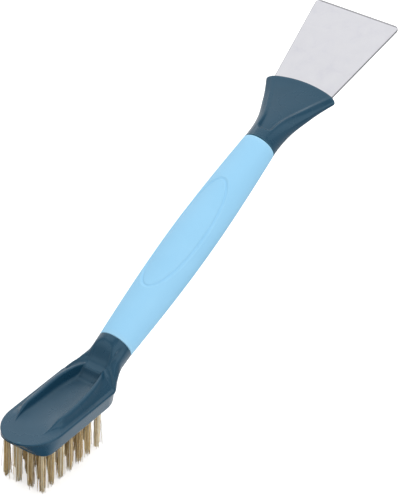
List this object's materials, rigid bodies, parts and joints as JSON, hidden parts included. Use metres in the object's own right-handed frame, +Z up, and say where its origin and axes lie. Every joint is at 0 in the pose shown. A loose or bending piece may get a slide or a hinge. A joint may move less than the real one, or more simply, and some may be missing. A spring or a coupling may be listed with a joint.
{
  "type": "crevice brush",
  "caption": "Hand brush for narrow gaps: short brass wire bristles on a scooped head, an angled round grip and a flat steel scraper blade in a flared holder.",
  "frame": {"origin": "middle of the rectangle of floor that the brush covers, level with the bristle tips", "axes": "+X runs from the brush's nose to the scraper's edge, +Y is the left side seen from behind the brush, +Z is up, away from the bristle tips"},
  "size_m": [0.277, 0.047, 0.1237],
  "materials": {
    "dark_plastic": "satin moulded plastic, deep slate blue",
    "pale_blue_plastic": "fine matte moulded plastic, pale sky blue",
    "steel": "satin stainless steel sheet",
    "brass": "drawn brass wire",
    "staple_steel": "plain wire"
  },
  "bodies": {
    "root": {"anchor_1_1": "staple_steel", "anchor_1_2": "staple_steel", "anchor_1_3": "staple_steel", "anchor_1_4": "staple_steel", "anchor_2_1": "staple_steel", "anchor_2_2": "staple_steel", "anchor_2_3": "staple_steel", "anchor_2_4": "staple_steel", "anchor_3_1": "staple_steel", "anchor_3_2": "staple_steel", "anchor_3_3": "staple_steel", "anchor_3_4": "staple_steel", "anchor_4_1": "staple_steel", "anchor_4_2": "staple_steel", "anchor_4_3": "staple_steel", "anchor_4_4": "staple_steel", "anchor_5_1": "staple_steel", "anchor_5_2": "staple_steel", "anchor_5_3": "staple_steel", "anchor_5_4": "staple_steel", "anchor_6_1": "staple_steel", "anchor_6_2": "staple_steel", "anchor_6_3": "staple_steel", "anchor_6_4": "staple_steel", "anchor_7_1": "staple_steel", "anchor_7_2": "staple_steel", "anchor_7_3": "staple_steel", "anchor_7_4": "staple_steel", "brush_head": "dark_plastic", "grip_sleeve": "pale_blue_plastic", "scraper_blade": "steel", "scraper_holder": "dark_plastic", "tuft_1_1": "brass", "tuft_1_2": "brass", "tuft_1_3": "brass", "tuft_1_4": "brass", "tuft_2_1": "brass", "tuft_2_2": "brass", "tuft_2_3": "brass", "tuft_2_4": "brass", "tuft_3_1": "brass", "tuft_3_2": "brass", "tuft_3_3": "brass", "tuft_3_4": "brass", "tuft_4_1": "brass", "tuft_4_2": "brass", "tuft_4_3": "brass", "tuft_4_4": "brass", "tuft_5_1": "brass", "tuft_5_2": "brass", "tuft_5_3": "brass", "tuft_5_4": "brass", "tuft_6_1": "brass", "tuft_6_2": "brass", "tuft_6_3": "brass", "tuft_6_4": "brass", "tuft_7_1": "brass", "tuft_7_2": "brass", "tuft_7_3": "brass", "tuft_7_4": "brass"}
  },
  "joints": []
}
